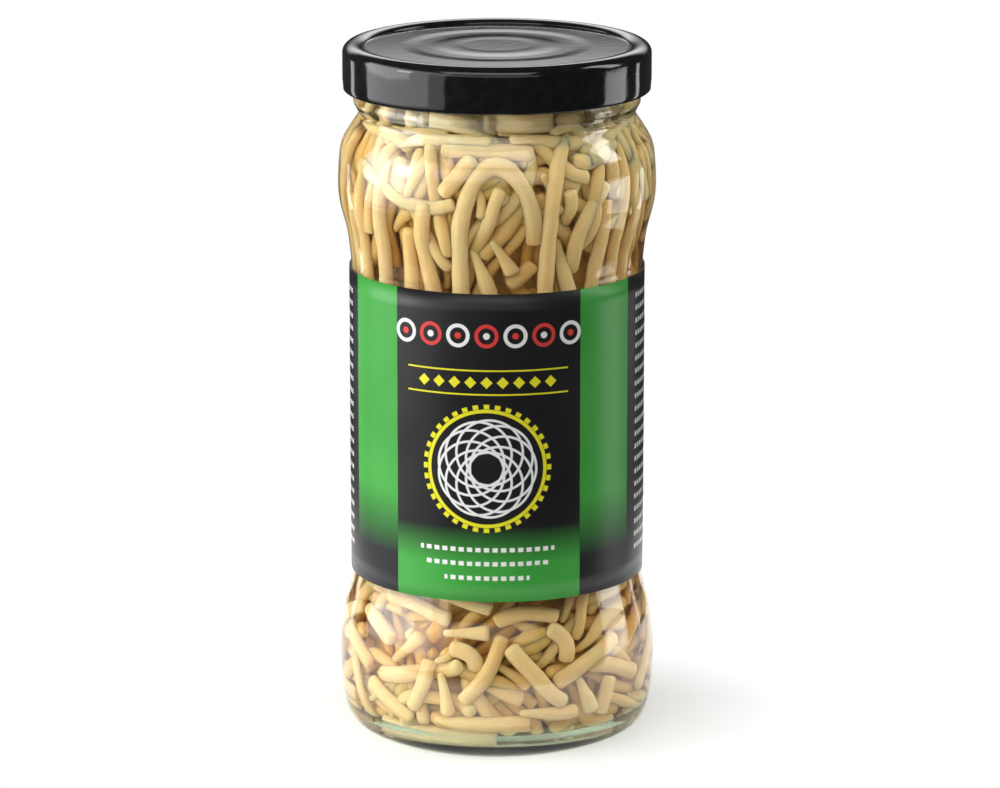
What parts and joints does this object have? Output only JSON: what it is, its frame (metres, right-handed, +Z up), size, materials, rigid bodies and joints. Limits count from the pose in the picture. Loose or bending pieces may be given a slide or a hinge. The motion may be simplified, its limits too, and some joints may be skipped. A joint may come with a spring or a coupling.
{
  "type": "jar of bean sprouts",
  "caption": "Waisted round glass jar of bean sprouts in brine, with a label round its waist and a metal twist-off lid over a sealing ring.",
  "frame": {"origin": "middle of the jar's foot, on the surface that it stands on", "axes": "+Z up along the jar's axis; the label's front faces -Y"},
  "size_m": [0.0714, 0.0714, 0.1574],
  "materials": {
    "clear_glass": "gloss",
    "black_lacquered_tinplate": "gloss",
    "sealing_compound": "satin",
    "label_paper": "satin",
    "brine": "gloss",
    "sprout": "satin"
  },
  "bodies": {
    "jar": {"glass_jar": "clear_glass", "label": "label_paper", "brine": "brine", "sprouts": "sprout"},
    "lid_seal": {"seal_ring": "sealing_compound"},
    "lid": {"lid": "black_lacquered_tinplate"}
  },
  "joints": [
    {"name": "lid_turn", "type": "hinge", "parent": "lid_seal", "child": "lid", "pos_m": [0, 0, 0.152], "axis": [0, 0, 1], "range_deg": [0, 60]},
    {"name": "lid_lift", "type": "slide", "parent": "jar", "child": "lid_seal", "axis": [0, 0, 1], "range_m": [0, 0.00152]}
  ],
  "couplings": [
    {"joint": "lid_lift", "follows": "lid_turn", "m_per_rad": 0.0014324}
  ]
}
